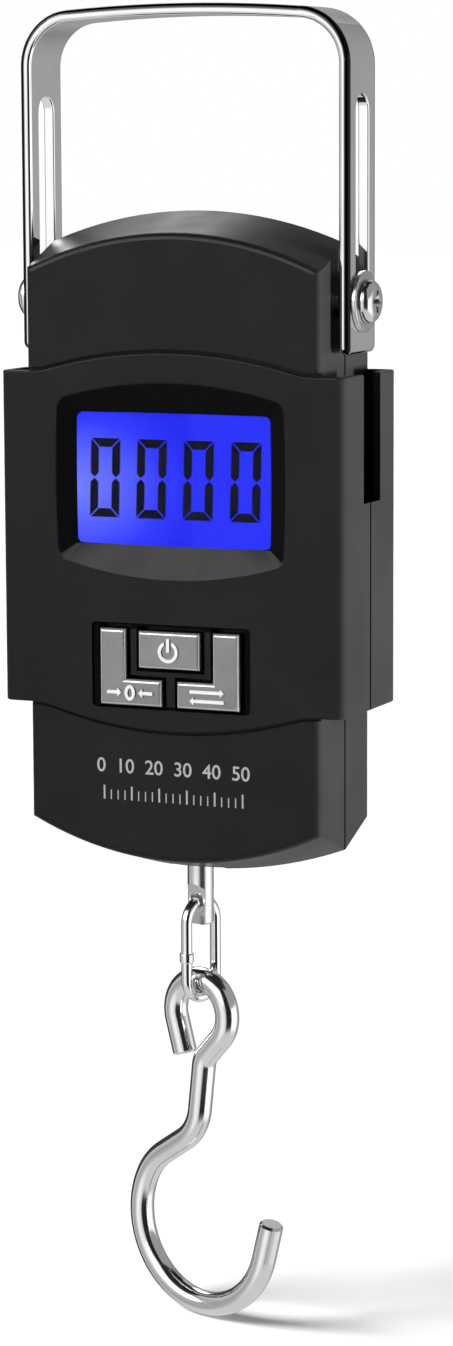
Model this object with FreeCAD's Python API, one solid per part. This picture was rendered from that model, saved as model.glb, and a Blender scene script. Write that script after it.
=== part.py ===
import FreeCAD, Part
import math
import os
from FreeCAD import Matrix, Placement, Rotation, Vector

# Hanging fish scale: a U-shaped steel handle that slides and swings on two bushes, a black
# plastic case with a display and three keys, and a hook on a link and a swivelling stem.
# Millimetres. +X right, -Y is the front (display side), +Z up.
# The origin is the middle of the underside of the handle's top bar, where a hand lifts it.

# ---- Handle: a polished steel strap bent to a U, with a long slot in each leg -------------
STRAP_WIDTH = 13.6
STRAP_THICKNESS = 2.1
HANDLE_OUTER_HALF = 32.65
HANDLE_CORNER_R = 10.2
HANDLE_CROWN_R = 300.0
HANDLE_EDGE_R = 0.85
LEG_BOTTOM_Z = -60.9
LEG_CORNER_R = 1.4
SLOT_WIDTH = 6.2
SLOT_TOP_Z = -14.4
SLOT_RIM_R = 0.3
SCREW_Z = -51.5
HANDLE_INNER_HALF = HANDLE_OUTER_HALF - STRAP_THICKNESS

# ---- Bush and screw at each end of the pivot axis ------------------------------------------
BUSH_R = 3.0
BUSH_BORE_R = 2.07
BUSH_FLANGE_R = 5.6
BUSH_FLANGE_T = 0.8
BUSH_FLANGE_EDGE_R = 0.3
SCREW_R = 2.0
SCREW_HEAD_R = 4.0
SCREW_HEAD_T = 1.95
SCREW_CROWN_R = 1.75
CROSS_WING = 2.0
CROSS_SLOT = 0.42
CROSS_DEPTH = 1.0
SCREW_TIP_X = 20.5
SIDE_GAP = 0.1

# ---- Narrow body of the case ---------------------------------------------------------------
NARROW_HALF = 29.25
NARROW_DEPTH = 12.4
FRONT_TOP = (-46.0, -39.3)        # height at the corners, height at the middle of the arc
FRONT_LOW = (-147.9, -154.9)
RIDGE_TOP = (-41.0, -35.2)
RIDGE_LOW = (-152.8, -158.25)
WALL = 1.8
NARROW_EDGE_R = 1.3

# ---- Wide band of the case ------------------------------------------------------------------
WIDE_HALF = 34.3
WIDE_DEPTH = 13.15
WIDE_TOP_Z = -64.5
WIDE_LOW_Z = -126.3
OGEE_HALF = 28.5
OGEE_TOP_RISE = 3.8
OGEE_LOW_RISE = 4.2
OGEE_SMALL_R = 16.0
WIDE_SIDE_R = 1.8
WIDE_EDGE_R = 0.35
CHANNEL_OUTER_X = 32.9
CHANNEL_HALF_Y = 11.4
CHANNEL_BOTTOM_Z = -96.6
SIDE_SLOT_Y = (-3.5, 4.8)
SIDE_SLOT_BOTTOM_Z = -87.95
BAND_GROOVE = (0.6, 1.0)          # width and depth of the groove that runs round the band's edges
PARTING_GAP = 0.3
PARTING_DEPTH = 0.45
STEM_NOTCH = (5.6, 5.0, -157.35)  # half width, half depth, floor height
STEM_EXIT_R = 3.0

# ---- Display -----------------------------------------------------------------------------------
RECESS_HALF = 23.05
RECESS_TOP = (-69.4, -66.0)
RECESS_LOW = (-98.8, -102.3)
RECESS_BOW = 0.4
RECESS_CORNER_R = 2.6
RECESS_FLOOR_Y = -11.55
WINDOW_HALF = 19.5
WINDOW_TOP_Z = -71.8
WINDOW_LOW_Z = -96.3
WINDOW_CORNER_R = 1.2
LCD_HALF = 20.9
LCD_FRONT_Y = -10.5
LCD_STEP_Y = -9.6
LCD_BACK_Y = -8.7
LCD_Z = (-97.2, -70.2)
LCD_LEDGE_Z = -99.5
BACKLIGHT_BACK_Y = -6.85
BACKLIGHT_LEFT = -19.0
LAMP_X = (-20.6, -19.1)
LAMP_HALF_Z = 1.5
LAMP_PLACES = (-77.5, -89.5)
STRIP_HALF = 19.5

# ---- Keys ----------------------------------------------------------------------------------------
KEY_RECESS_HALF = 15.95
KEY_RECESS_Z = (-126.4, -110.55)
KEY_RECESS_DEPTH = 0.5
KEY_RECESS_CORNER_R = 0.8
KEY_FACE_Y = -14.1
KEY_BACK_Y = -10.5
KEY_FLANGE_T = 0.6
KEY_FLANGE_OUT = 0.3
KEY_GAP = 0.7
KEY_EDGE_R = 0.65
POWER_KEY = (6.15, -118.7, -111.8)          # half width, bottom, top
SIDE_KEY_X = (1.55, 8.75, 13.95)            # foot's inner end, leg's inner side, outer side
SIDE_KEY_Z = (-125.8, -120.9, -111.6)       # bottom, top of the foot, top of the leg
SWITCH_PLACES = {"tare": (-10.3, -121.2), "power": (0.0, -115.2), "unit": (10.3, -121.2)}
SWITCH_SIZE = 6.0
SWITCH_FRONT_Y = -9.2
PLUNGER_R = 1.7
PLUNGER_BACK_Y = -8.0
SIGN_RISE = 0.3
SIGN_STROKE = 0.6
SWITCH_RING = (2.0, 0.75, 2.5)              # radius, half width of its gap, reach of the bar
ZERO_RING = (1.05, 1.45)                    # half width, half height
ZERO_ARROWS = (4.6, 1.7, 0.85)              # tail, tip and half height of a head
SWAP_ARROWS = (3.4, 0.85, 0.75)             # half length, half height apart, half height of a head

# ---- Circuit board ---------------------------------------------------------------------------------
BOARD_FRONT_Y = -6.8
BOARD_BACK_Y = -5.2
BOARD_HALF = 26.8
BOARD_Z = (-124.6, -66.8)
BOARD_SCREWS = [(24.2, -69.6), (24.2, -106.0)]
BOARD_SCREW_R = 0.9
BOARD_SCREW_HEAD_R = 1.8
BOARD_SCREW_HEAD_T = 1.3
BOARD_SCREW_SLOT = (1.2, 0.25, 0.6)          # half length, half width, depth
BOARD_CORNER_R = 1.5
BOARD_SCREW_TIP_Y = -9.8
BOARD_BOSS_R = 2.2
COMPONENT_X = 12.5
COMPONENT_ROWS = (-84.6, -88.8, -93.0)
COMPONENT_SIZE = (1.0, 0.8, 0.6)            # half length, height, half width
CHIP_PLACE = (0.0, -90.0)
CHIP_BALL_R = 9.0
CHIP_RISE = 1.3
CASE_SCREWS = [(20.5, -61.6), (20.5, -140.0)]
CASE_SCREW_R = 1.2
CASE_BOSS_R = 2.9
CASE_SCREW_HEAD_R = 2.3
CASE_SCREW_SEAT_Y = 8.2
CASE_SCREW_HEAD_T = 1.8
CASE_SCREW_TIP_Y = -7.0
CASE_SCREW_CROSS = (1.5, 0.35, 0.9) # half length, half width, depth

# ---- Load cell: an aluminium beam held at both ends and pulled down at its middle ----------------
CELL_HALF_X = 27.2
CELL_HALF_Y = 4.0
CELL_HALF_Z = 6.0
CELL_HOLES = (9.0, 16.0, 3.0)               # two hole places along each arm, and their radius
CELL_SLIT = 0.6                             # half height of the slit that joins them
GAUGE_SIZE = (2.4, 2.0, 0.25)               # half length, half width, thickness
CELL_WIRES = (4, 13.0, 1.1, 0.35, 0.95)     # count, first place, spacing, radius, bend radius
CELL_WIRE_Y = 2.0

# ---- Batteries and their bay, open to the back -----------------------------------------------------
CELL_R = 5.25
CELL_LENGTH = 44.5
BATTERY_X = 9.3
BATTERY_NUB = (1.9, 0.9)                    # radius and height of the plus end
BATTERY_Y = 5.75
BATTERY_EDGE_R = 0.5
BATTERY_WIRE = (3.0, 0.5, 1.6)               # place beside the cell's axis, radius, bend radius
BAY_Z = (-123.4, -76.0)
BAY_HALF_X = 5.45
BAY_FLOOR_Y = 0.3
MINUS_SPACE = 1.9                            # room for the spring at a cell's minus end
PLUS_SPACE = 0.9
CONTACT_T = 0.35
CONTACT_HALF = 4.2
SPRING_T = 0.3
SPRING_HALF = 1.8
BAY_WALL = 0.95
DOOR_HALF = 16.4
DOOR_Z = (-124.6, -71.8)
DOOR_T = 1.25
DOOR_GAP = 0.25
DOOR_CORNER_R = 1.5
HINGE_Z = DOOR_Z[1] - DOOR_T
TAB_X = (-9.3, 9.3)
TAB_HALF = 2.0
TAB_NECK_Z = (HINGE_Z - 1.6, HINGE_Z + 0.4)
TAB_FOOT_Z = (HINGE_Z - 0.4, HINGE_Z + 2.4)
TAB_DEPTH = (1.0, 0.15)                      # reach below the door's underside, gap under it
TAB_POCKET_Z = (DOOR_Z[1] - 4.6, DOOR_Z[1] + 1.7)
TAB_POCKET_DEPTH = 2.7
TAB_POCKET_SIDE = 0.6
RIB_Z = (-120.0, -118.4, -116.8)             # finger grooves on the door
RIB_HALF = 8.0
RIB_WIDTH = 0.7
RIB_DEPTH = 0.35

# ---- Stem, link and hook: they hang in a plane turned about Z --------------------------------------
HANG_TURN = 18.0
STEM_R = 2.5
STEM_TOP_Z = -40.2
STEM_BOTTOM_Z = -168.9
TONGUE_HALF = 1.27
TONGUE_TOP_Z = -161.0
STEM_HOLE_Z = -164.3
STEM_HOLE_R = 1.6
STEM_HOLE_RIM_R = 0.2
STEM_CHAMFER = 0.45
WASHER_R = 5.0
WASHER_T = 0.8
NUT_ACROSS = 8.0
NUT_T = 3.6
SEAT_GAP = 0.05                              # between the load cell and the washer on it
STEM_BORE_R = STEM_R + 0.05
LINK_R = 1.05
LINK_BEND_R = 4.05
LINK_TOP_Z = -164.55
LINK_LOW_Z = -183.15
WELD_Z = -175.0
WELD_LENGTH = 1.9
WELD_RISE = 0.3
HOOK_R = 2.3
HOOK_TOP_Z = LINK_LOW_Z + LINK_R + HOOK_R + 0.06
EYE_R = 6.5
WIRE_END_CHAMFER = 0.45
# Runs of the hook's wire from the top of its eye: ("arc", radius, turn) or ("run", length).
EYE_CLOSED_SIDE = [("arc", EYE_R, 107.0), ("run", 7.0)]
HOOK_SIDE = [
    ("arc", EYE_R, -133.0),
    ("run", 4.6),
    ("arc", 4.0, 36.0),
    ("run", 9.0),
    ("arc", 9.2, -49.0),
    ("run", 6.4),
    ("arc", 12.4, 27.0),
    ("arc", 15.9, 194.0),
    ("run", 7.4),
]


# ---- Small helpers ------------------------------------------------------------------------------------
def box(x, y, z):
    """Box from three (low, high) pairs."""
    size = [high - low for low, high in (x, y, z)]
    return Part.makeBox(*size, Vector(x[0], y[0], z[0]))


def rod(radius, start, end):
    """Cylinder between two points."""
    axis = Vector(*end) - Vector(*start)
    return Part.makeCylinder(radius, axis.Length, Vector(*start), axis)


def line(start, end):
    return Part.makeLine(Vector(*start), Vector(*end))


def arc(start, middle, end):
    return Part.Arc(Vector(*start), Vector(*middle), Vector(*end)).toShape()


def both_sides(shape):
    """The shape and its mirror image across the plane X = 0."""
    return [shape, shape.mirror(Vector(0, 0, 0), Vector(1, 0, 0))]


def prism(wire, depth):
    """Solid from a closed wire in an XZ plane, extruded towards +Y."""
    return Part.Face(wire).extrude(Vector(0, depth, 0))


def polygon(points, y):
    """Closed wire of straight edges through (x, z) points."""
    corners = [Vector(x, y, z) for x, z in points]
    return Part.makePolygon(corners + corners[:1])


def along_y(edge, reach):
    """True for an edge parallel to Y that is at least as long as reach."""
    start, end = edge.Vertexes[0].Point, edge.Vertexes[-1].Point
    span = end - start
    return abs(span.x) < 1e-6 and abs(span.z) < 1e-6 and span.Length > reach


def at_y(edge, y):
    return abs(edge.BoundBox.YMin - y) < 1e-4 and abs(edge.BoundBox.YMax - y) < 1e-4


def rounded_prism(wire, depth, radius):
    """Prism whose edges along Y are rounded."""
    solid = prism(wire, depth)
    corners = [edge for edge in solid.Edges if along_y(edge, depth / 2)]
    return solid.makeFillet(radius, corners)


def wire_at(solid, y):
    """Outline of the flat face of a prism that lies at the given Y."""
    faces = [f for f in solid.Faces if abs(f.BoundBox.YMin - y) < 1e-4 and f.BoundBox.YLength < 1e-4]
    return faces[0].OuterWire


def tube(points, radius, bend):
    """Round wire along straight runs joined by tangent arcs of one bend radius."""
    places = [Vector(*p) for p in points]
    edges = []
    start = places[0]
    for before, corner, after in zip(places, places[1:], places[2:]):
        back = (before - corner).normalize()
        ahead = (after - corner).normalize()
        half = back.getAngle(ahead) / 2
        trim = bend / math.tan(half)
        enter = corner + back * trim
        leave = corner + ahead * trim
        inward = (back + ahead).normalize()
        middle = corner + inward * (bend / math.sin(half) - bend)
        edges += [Part.makeLine(start, enter), Part.Arc(enter, middle, leave).toShape()]
        start = leave
    edges.append(Part.makeLine(start, places[-1]))
    path = Part.Wire(edges)
    first = places[1] - places[0]
    section = Part.Wire(Part.makeCircle(radius, places[0], first))
    return path.makePipeShell([section], True, False)


def turned(shape):
    """Turns a shape made in the XZ plane into the hanging plane of the stem, link and hook."""
    shape = shape.copy()
    shape.Placement = Placement(Vector(), Rotation(Vector(0, 0, 1), -HANG_TURN)).multiply(shape.Placement)
    return shape


def cell_z():
    return (SCREW_Z - CELL_HALF_Z, SCREW_Z + CELL_HALF_Z)


# ---- Handle, bushes and screws ----------------------------------------------------------------------------
def handle_outline(inset):
    """Half of the strap's path at a distance inside its outer face: leg, corner, crown."""
    crown_centre = STRAP_THICKNESS - HANDLE_CROWN_R
    side = HANDLE_OUTER_HALF - HANDLE_CORNER_R
    corner_centre = crown_centre + math.sqrt((HANDLE_CROWN_R - HANDLE_CORNER_R) ** 2 - side ** 2)
    tilt = math.atan2(side, corner_centre - crown_centre)
    corner_r = HANDLE_CORNER_R - inset
    crown_r = HANDLE_CROWN_R - inset

    def on_corner(angle):
        return (side + corner_r * math.sin(angle), corner_centre + corner_r * math.cos(angle))

    leg_top = on_corner(math.pi / 2)
    corner_middle = on_corner((math.pi / 2 + tilt) / 2)
    crown_end = on_corner(tilt)
    return (leg_top[0], LEG_BOTTOM_Z), leg_top, corner_middle, crown_end, (0, crown_centre + crown_r)


def handle_side(inset, y):
    """Edges of the strap's path from the left leg's end to the right leg's end."""
    foot, leg_top, corner, crown_end, apex = handle_outline(inset)

    def left(point):
        return (-point[0], y, point[1])

    def right(point):
        return (point[0], y, point[1])

    return [
        line(left(foot), left(leg_top)),
        arc(left(leg_top), left(corner), left(crown_end)),
        arc(left(crown_end), right(apex), right(crown_end)),
        arc(right(crown_end), right(corner), right(leg_top)),
        line(right(leg_top), right(foot)),
    ]


def handle():
    y = -STRAP_WIDTH / 2
    outer = handle_side(0, y)
    inner = handle_side(STRAP_THICKNESS, y)
    outer_foot = (HANDLE_OUTER_HALF, y, LEG_BOTTOM_Z)
    inner_foot = (HANDLE_INNER_HALF, y, LEG_BOTTOM_Z)
    ends = [line(outer_foot, inner_foot)]
    ends.append(line((-inner_foot[0],) + inner_foot[1:], (-outer_foot[0],) + outer_foot[1:]))
    strap = prism(Part.Wire(Part.__sortEdges__(outer + inner + ends)), STRAP_WIDTH)

    def foot_corner(edge):
        ends_low = edge.BoundBox.ZMax < LEG_BOTTOM_Z + 0.01
        return ends_low and edge.BoundBox.XLength > 1 and edge.BoundBox.YLength < 0.01

    strap = strap.makeFillet(LEG_CORNER_R, [e for e in strap.Edges if foot_corner(e)])
    long_edges = [e for e in strap.Edges if at_y(e, y) or at_y(e, -y)]
    strap = strap.makeFillet(HANDLE_EDGE_R, long_edges)
    reach = HANDLE_OUTER_HALF + 1
    half = SLOT_WIDTH / 2
    slot = box((-reach, reach), (-half, half), (SCREW_Z, SLOT_TOP_Z - half))
    for z in (SCREW_Z, SLOT_TOP_Z - half):
        slot = slot.fuse(rod(half, (-reach, 0, z), (reach, 0, z)))
    strap = strap.cut(slot.removeSplitter())

    def slot_rim(edge):
        bounds = edge.BoundBox
        return bounds.XLength < 0.001 and max(abs(bounds.YMin), abs(bounds.YMax)) < half + 0.01

    return strap.makeFillet(SLOT_RIM_R, [e for e in strap.Edges if slot_rim(e)])


def bush(side):
    """Flanged bush: its sleeve runs in the handle's slot and its flange covers the slot."""
    inner = NARROW_HALF + SIDE_GAP
    flange = HANDLE_OUTER_HALF + SIDE_GAP
    outer = flange + BUSH_FLANGE_T
    body = rod(BUSH_R, (side * inner, 0, SCREW_Z), (side * flange, 0, SCREW_Z))
    rim = rod(BUSH_FLANGE_R, (side * flange, 0, SCREW_Z), (side * outer, 0, SCREW_Z))
    edges = [e for e in rim.Edges if abs(e.BoundBox.XMin - side * outer) < 0.01 and e.BoundBox.XLength < 0.01]
    body = body.fuse(rim.makeFillet(BUSH_FLANGE_EDGE_R, edges)).removeSplitter()
    return body.cut(rod(BUSH_BORE_R, (side * (inner - 1), 0, SCREW_Z), (side * (outer + 1), 0, SCREW_Z)))


def handle_screws():
    """Pan-head screws with a cross recess, threaded into the ends of the load cell."""
    seat = HANDLE_OUTER_HALF + SIDE_GAP + BUSH_FLANGE_T + SIDE_GAP
    top = seat + SCREW_HEAD_T
    head = rod(SCREW_HEAD_R, (seat, 0, SCREW_Z), (top, 0, SCREW_Z))
    rim = [e for e in head.Edges if e.BoundBox.XMin > top - 0.01]
    head = head.makeFillet(SCREW_CROWN_R, rim)
    cut_x = (top - CROSS_DEPTH, top + 1)
    wing_z = (SCREW_Z - CROSS_WING, SCREW_Z + CROSS_WING)
    cross = box(cut_x, (-CROSS_WING, CROSS_WING), (SCREW_Z - CROSS_SLOT, SCREW_Z + CROSS_SLOT))
    cross = cross.fuse(box(cut_x, (-CROSS_SLOT, CROSS_SLOT), wing_z))
    point, inward = Vector(top, 0, SCREW_Z), Vector(-1, 0, 0)
    cone = Part.makeCone(3 * CROSS_SLOT, CROSS_SLOT / 2, CROSS_DEPTH + 0.5, point, inward)
    head = head.cut(cross.fuse(cone))
    screw = head.fuse(rod(SCREW_R, (SCREW_TIP_X, 0, SCREW_Z), (seat, 0, SCREW_Z)))
    return Part.makeCompound(both_sides(screw))


# ---- Case shells ----------------------------------------------------------------------------------------------
def body_outline(inset, y, top, low):
    """Closed outline: straight sides, a bowed top and a bowed bottom, each (corner, middle)."""
    half = NARROW_HALF - inset
    top_corner, top_middle = (z - inset for z in top)
    low_corner, low_middle = (z + inset for z in low)
    return Part.Wire([
        line((-half, y, low_corner), (-half, y, top_corner)),
        arc((-half, y, top_corner), (0, y, top_middle), (half, y, top_corner)),
        line((half, y, top_corner), (half, y, low_corner)),
        arc((half, y, low_corner), (0, y, low_middle), (-half, y, low_corner)),
    ])


def narrow_half(inset):
    """Front half of the narrow body: it slopes from the front outline out to the mid-plane ridge."""
    front = body_outline(inset, inset - NARROW_DEPTH, FRONT_TOP, FRONT_LOW)
    ridge = body_outline(inset, 0, RIDGE_TOP, RIDGE_LOW)
    return Part.makeLoft([front, ridge], True, True)


def ogee(y, edge_z, rise, sign, inset):
    """Edges, left to right, of a flat edge that swells to the middle through two tangent arcs."""
    half_turn = math.atan(rise / OGEE_HALF)
    turn = 2 * half_turn

    def point(x, height):
        return (x, y, edge_z + sign * (height - inset))

    def small(angle):
        x = OGEE_HALF - OGEE_SMALL_R * math.sin(angle)
        return x, OGEE_SMALL_R * (1 - math.cos(angle))

    start = small(0)
    middle = small(half_turn)
    join = small(turn)
    side = WIDE_HALF - inset
    return [
        line(point(-side, 0), point(-start[0], 0)),
        arc(point(-start[0], 0), point(-middle[0], middle[1]), point(-join[0], join[1])),
        arc(point(-join[0], join[1]), point(0, rise), point(join[0], join[1])),
        arc(point(join[0], join[1]), point(middle[0], middle[1]), point(start[0], 0)),
        line(point(start[0], 0), point(side, 0)),
    ]


def wide_outline(inset, y):
    top = ogee(y, WIDE_TOP_Z, OGEE_TOP_RISE, 1, inset)
    low = ogee(y, WIDE_LOW_Z, OGEE_LOW_RISE, -1, inset)
    side = WIDE_HALF - inset
    high_z = WIDE_TOP_Z - inset
    low_z = WIDE_LOW_Z + inset
    sides = [line((s * side, y, low_z), (s * side, y, high_z)) for s in (-1, 1)]
    return Part.Wire(Part.__sortEdges__(top + low + sides))


def wide_half(inset):
    """Front half of the wide band."""
    depth = WIDE_DEPTH - inset
    return prism(wide_outline(inset, -depth), depth)


def rounded_wide_half():
    solid = wide_half(0)

    def side_edge(edge):
        return at_y(edge, -WIDE_DEPTH) and abs(abs(edge.CenterOfMass.x) - WIDE_HALF) < 0.01

    solid = solid.makeFillet(WIDE_SIDE_R, [e for e in solid.Edges if side_edge(e)])
    low, high = WIDE_LOW_Z - OGEE_LOW_RISE - 1, WIDE_TOP_Z + OGEE_TOP_RISE + 1

    def front_edge(edge):
        return at_y(edge, -WIDE_DEPTH) and edge.BoundBox.XLength > 1 and low < edge.CenterOfMass.z < high

    return solid.makeFillet(WIDE_EDGE_R, [e for e in solid.Edges if front_edge(e)])


def rounded_narrow_half():
    solid = narrow_half(0)
    return solid.makeFillet(NARROW_EDGE_R, [e for e in solid.Edges if at_y(e, -NARROW_DEPTH)])


def half_shell(slot_depth):
    """Front half of the case, hollow, with the leg channels and the side slots."""
    channel_x = (NARROW_HALF - 1, CHANNEL_OUTER_X)
    channel = box(channel_x, (-CHANNEL_HALF_Y, 1), (CHANNEL_BOTTOM_Z, WIDE_TOP_Z + 9))
    slot = box((CHANNEL_OUTER_X - 1, WIDE_HALF + 1), (-slot_depth, 1), (SIDE_SLOT_BOTTOM_Z, WIDE_TOP_Z + 9))
    lower_z = (WIDE_LOW_Z + WALL, CHANNEL_BOTTOM_Z - WALL)
    pocket = box((NARROW_HALF - 3 * WALL, CHANNEL_OUTER_X - 0.4), (-CHANNEL_HALF_Y, 1), lower_z)
    wide = rounded_wide_half().cut(both_sides(channel.fuse(slot)))
    shell = wide.fuse(rounded_narrow_half())
    groove_width, groove_depth = BAND_GROOVE
    band_groove = prism(wide_outline(-groove_width, -WIDE_DEPTH), WIDE_DEPTH - NARROW_DEPTH + groove_depth)
    shell = shell.cut(band_groove.cut(wide_half(0)))
    groove = box((-40, 40), (-PARTING_GAP, 0), (-170, 0))
    groove = groove.cut(narrow_half(PARTING_DEPTH).fuse(wide_half(PARTING_DEPTH)))
    shell = shell.cut([narrow_half(WALL), groove] + both_sides(pocket))
    notch_x, notch_y, notch_z = STEM_NOTCH
    notch = box((-notch_x, notch_x), (-notch_y, 1), (RIDGE_LOW[1] - 2, notch_z))
    exit_hole = rod(STEM_EXIT_R, (0, 0, RIDGE_LOW[1] - 2), (0, 0, RIDGE_LOW[1] + 6))
    screw_hole = rod(SCREW_R + 0.3, (NARROW_HALF - 4, 0, SCREW_Z), (NARROW_HALF + 1, 0, SCREW_Z))
    return shell.cut([notch, exit_hole] + both_sides(screw_hole))


def display_outline(half, top, low, bow, corner_r, y):
    """Four bowed sides with rounded corners, as a closed wire at one Y."""
    top_corner, top_middle = top
    low_corner, low_middle = low
    middle = (top_corner + low_corner) / 2
    corner = half - bow
    wire = Part.Wire([
        arc((-corner, y, low_corner), (-half, y, middle), (-corner, y, top_corner)),
        arc((-corner, y, top_corner), (0, y, top_middle), (corner, y, top_corner)),
        arc((corner, y, top_corner), (half, y, middle), (corner, y, low_corner)),
        arc((corner, y, low_corner), (0, y, low_middle), (-corner, y, low_corner)),
    ])
    return wire_at(rounded_prism(wire, 1.0, corner_r), y)


def window_outline(inset, y):
    slight = 0.12
    top = (WINDOW_TOP_Z - slight - inset, WINDOW_TOP_Z - inset)
    low = (WINDOW_LOW_Z + slight + inset, WINDOW_LOW_Z + inset)
    return display_outline(WINDOW_HALF - inset, top, low, slight, WINDOW_CORNER_R, y)


def display_opening():
    """Sloping surround down to the window, and the window itself."""
    rim = display_outline(RECESS_HALF, RECESS_TOP, RECESS_LOW, RECESS_BOW, RECESS_CORNER_R, -WIDE_DEPTH)
    floor = window_outline(0, RECESS_FLOOR_Y)
    slope = Part.makeLoft([rim, floor], True, True)
    return slope.fuse(prism(floor, WALL + 1))


def key_wire(name, y):
    """Front outline of a key: a rectangle, or an L and its mirror image."""
    if name == "power":
        half, low, high = POWER_KEY
        return polygon([(-half, low), (half, low), (half, high), (-half, high)], y)
    foot, leg, side = SIDE_KEY_X
    low, foot_top, high = SIDE_KEY_Z
    points = [(foot, low), (side, low), (side, high), (leg, high), (leg, foot_top), (foot, foot_top)]
    sign = -1 if name == "tare" else 1
    return polygon([(sign * x, z) for x, z in points], y)


def grown_key(name, out, y, depth):
    wire = key_wire(name, y)
    if out:
        wire = wire.makeOffset2D(out, 2)
    return prism(wire, depth)


def board_boss(x, z):
    boss = rod(BOARD_BOSS_R, (x, WALL - NARROW_DEPTH - 0.2, z), (x, BOARD_FRONT_Y, z))
    return boss.cut(rod(BOARD_SCREW_R, (x, WALL - NARROW_DEPTH + 0.6, z), (x, 0, z)))


def mirrored_places(places):
    return [(sign * x, z) for x, z in places for sign in (-1, 1)]


def front_shell():
    shell = half_shell(-SIDE_SLOT_Y[0])
    shell = shell.cut(display_opening())
    recess_x = (-KEY_RECESS_HALF, KEY_RECESS_HALF)
    recess = box(recess_x, (-WIDE_DEPTH - 1, KEY_RECESS_DEPTH - WIDE_DEPTH), KEY_RECESS_Z)
    recess = recess.makeFillet(KEY_RECESS_CORNER_R, [e for e in recess.Edges if along_y(e, 1)])
    keys_z = (SIDE_KEY_Z[0], SIDE_KEY_Z[2])
    trench = recess.cut(box((-SIDE_KEY_X[2], SIDE_KEY_X[2]), (-WIDE_DEPTH - 2, 0), keys_z))
    openings = [grown_key(name, KEY_GAP, -WIDE_DEPTH - 1, 5) for name in SWITCH_PLACES]
    shell = shell.cut([trench] + openings)
    bosses = [board_boss(x, z) for x, z in mirrored_places(BOARD_SCREWS)]
    for x, z in mirrored_places(CASE_SCREWS):
        boss = rod(CASE_BOSS_R, (x, WALL - NARROW_DEPTH - 0.2, z), (x, 0, z))
        bosses.append(boss.cut(rod(CASE_SCREW_R, (x, CASE_SCREW_TIP_Y - 0.5, z), (x, 1, z))))
    return shell.fuse(bosses).removeSplitter()


def bay_box(grow, y):
    """Both battery bays, grown on every side, between two heights along Y."""
    x = (BATTERY_X - BAY_HALF_X - grow, BATTERY_X + BAY_HALF_X + grow)
    return both_sides(box(x, y, (BAY_Z[0] - grow, BAY_Z[1] + grow)))


def door_panel(gap, y, depth):
    """Door plate with rounded lower corners, or the opening for it when it is grown by a gap."""
    low = DOOR_Z[0] - gap
    panel = box((-DOOR_HALF - gap, DOOR_HALF + gap), (y, y + depth), (low, DOOR_Z[1] + gap))
    corners = [e for e in panel.Edges if along_y(e, depth / 2) and e.BoundBox.ZMax < low + 0.01]
    return panel.makeFillet(DOOR_CORNER_R, corners)


def back_shell():
    shell = half_shell(SIDE_SLOT_Y[1]).mirror(Vector(0, 0, 0), Vector(0, 1, 0))
    walls = bay_box(BAY_WALL, (BAY_FLOOR_Y - BAY_WALL, NARROW_DEPTH - WALL + 0.2))
    ledge_y = WIDE_DEPTH - DOOR_T - 0.1
    door_seat = door_panel(DOOR_GAP, ledge_y, 3)
    sweep = (ledge_y - DOOR_T - 0.1, ledge_y + 0.2)
    roll = box((-DOOR_HALF - DOOR_GAP, DOOR_HALF + DOOR_GAP), sweep, (HINGE_Z - 0.2, DOOR_Z[1] + DOOR_GAP))
    reach = TAB_HALF + TAB_POCKET_SIDE
    pocket_y = (ledge_y - TAB_POCKET_DEPTH, ledge_y + 0.2)
    tabs = [box((x - reach, x + reach), pocket_y, TAB_POCKET_Z) for x in TAB_X]
    bosses = []
    holes = []
    for x, z in mirrored_places(CASE_SCREWS):
        bosses.append(rod(CASE_BOSS_R, (x, 0, z), (x, NARROW_DEPTH - WALL + 0.2, z)))
        holes.append(rod(CASE_SCREW_R + 0.25, (x, -1, z), (x, 20, z)))
        holes.append(rod(CASE_SCREW_HEAD_R + 0.2, (x, CASE_SCREW_SEAT_Y, z), (x, 20, z)))
    shell = shell.fuse(walls + bosses)
    return shell.cut(bay_box(0, (BAY_FLOOR_Y, 20)) + [door_seat, roll] + tabs + holes).removeSplitter()


def battery_door():
    """Flush door: its top edge is rounded about the hinge line, under which two tabs reach."""
    inner = WIDE_DEPTH - DOOR_T
    panel = door_panel(0, inner, DOOR_T)
    top = [e for e in panel.Edges if abs(e.BoundBox.ZMin - DOOR_Z[1]) < 0.01 and at_y(e, WIDE_DEPTH)]
    panel = panel.makeFillet(DOOR_T - 0.02, top)
    pieces = []
    depth, gap = TAB_DEPTH
    for x in TAB_X:
        tab_x = (x - TAB_HALF, x + TAB_HALF)
        pieces.append(box(tab_x, (inner - depth, inner + 0.1), TAB_NECK_Z))
        pieces.append(box(tab_x, (inner - depth, inner - gap), TAB_FOOT_Z))
    rib_y = (WIDE_DEPTH - RIB_DEPTH, WIDE_DEPTH + 1)
    ribs = [box((-RIB_HALF, RIB_HALF), rib_y, (z, z + RIB_WIDTH)) for z in RIB_Z]
    return panel.fuse(pieces).cut(ribs).removeSplitter()


def case_screws():
    screws = []
    for x, z in mirrored_places(CASE_SCREWS):
        top = CASE_SCREW_SEAT_Y + CASE_SCREW_HEAD_T
        head = rod(CASE_SCREW_HEAD_R, (x, CASE_SCREW_SEAT_Y, z), (x, top, z))
        wing, slot, depth = CASE_SCREW_CROSS
        cross = box((x - wing, x + wing), (top - depth, top + 1), (z - slot, z + slot))
        cross = cross.fuse(box((x - slot, x + slot), (top - depth, top + 1), (z - wing, z + wing)))
        shank = rod(CASE_SCREW_R, (x, CASE_SCREW_TIP_Y, z), (x, CASE_SCREW_SEAT_Y, z))
        screws.append(head.cut(cross).fuse(shank))
    return Part.makeCompound(screws)


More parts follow.
